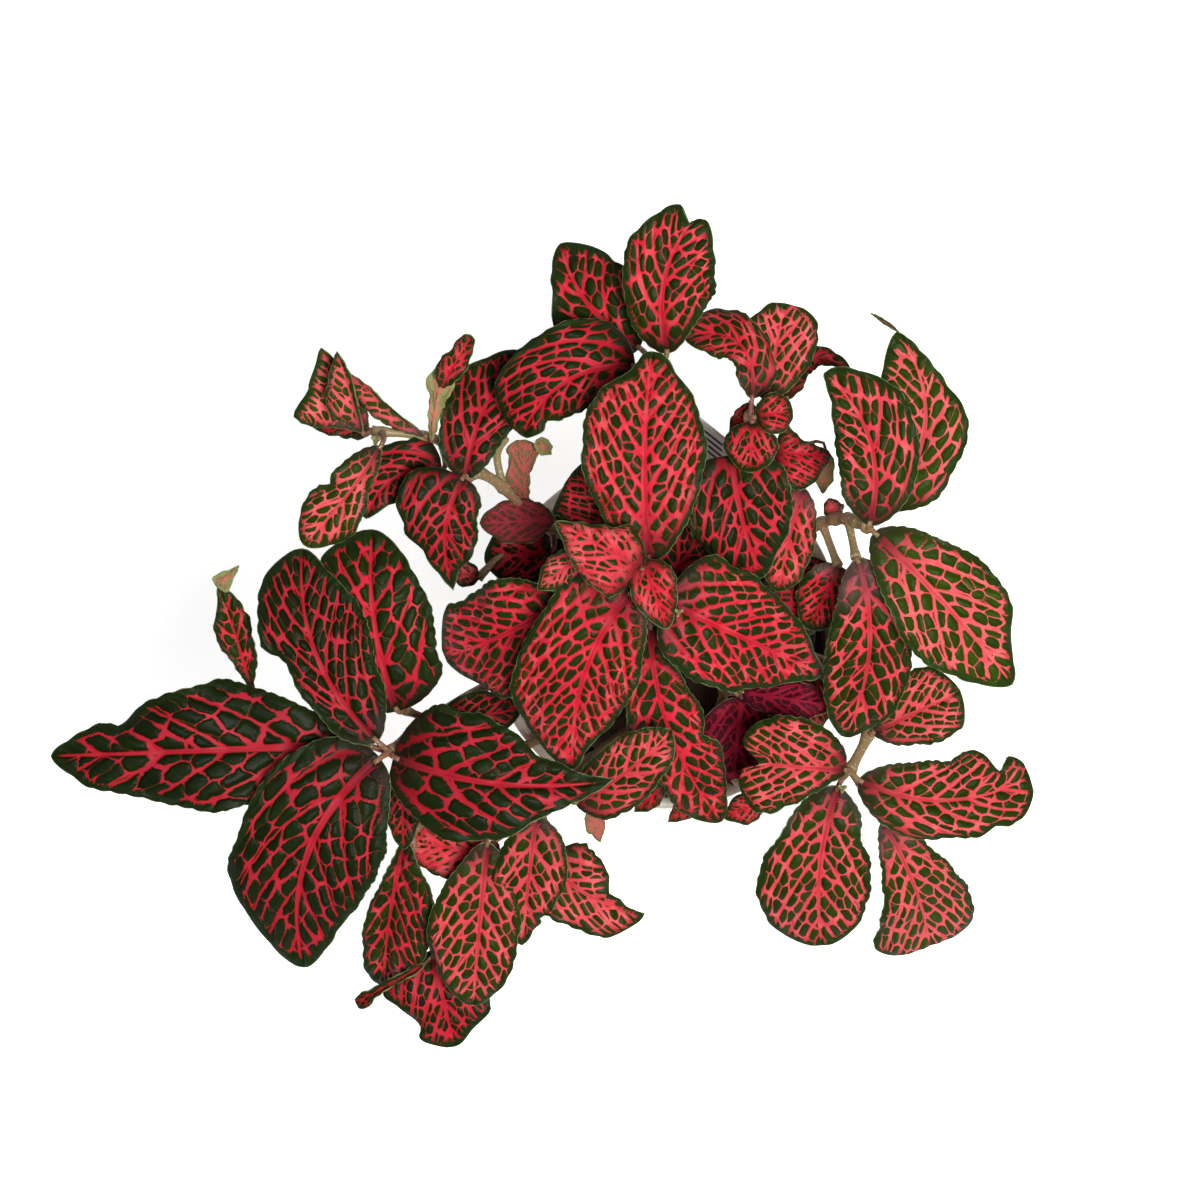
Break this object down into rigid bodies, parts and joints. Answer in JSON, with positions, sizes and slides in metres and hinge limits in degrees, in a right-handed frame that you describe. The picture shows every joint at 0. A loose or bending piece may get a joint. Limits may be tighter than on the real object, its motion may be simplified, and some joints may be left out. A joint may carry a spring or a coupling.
{
  "type": "potted nerve plant",
  "caption": "Bushy potted nerve plant with pink-veined dark green leaves on leaning stems, in a grow pot set inside a plain tapered ceramic pot.",
  "frame": {"origin": "middle of the flat underside of the outer pot", "axes": "+Z up out of the pot, +X to the right and +Y up in the view from straight above"},
  "size_m": [0.3219, 0.2771, 0.2201],
  "materials": {
    "pot_glaze": "satin",
    "grow_pot_plastic": "satin",
    "potting_soil": "matte",
    "tag_plastic": "satin",
    "foliage": "satin"
  },
  "bodies": {
    "root": {"outer_pot": "pot_glaze", "grow_pot": "grow_pot_plastic", "soil": "potting_soil", "plant_tag": "tag_plastic", "shoot_crown": "foliage", "shoot_back": "foliage", "shoot_backRight": "foliage", "shoot_right": "foliage", "shoot_frontRight": "foliage", "shoot_left": "foliage", "shoot_frontLeft": "foliage", "shoot_front": "foliage", "shoot_upperLeft": "foliage", "shoot_inner": "foliage"}
  },
  "joints": []
}
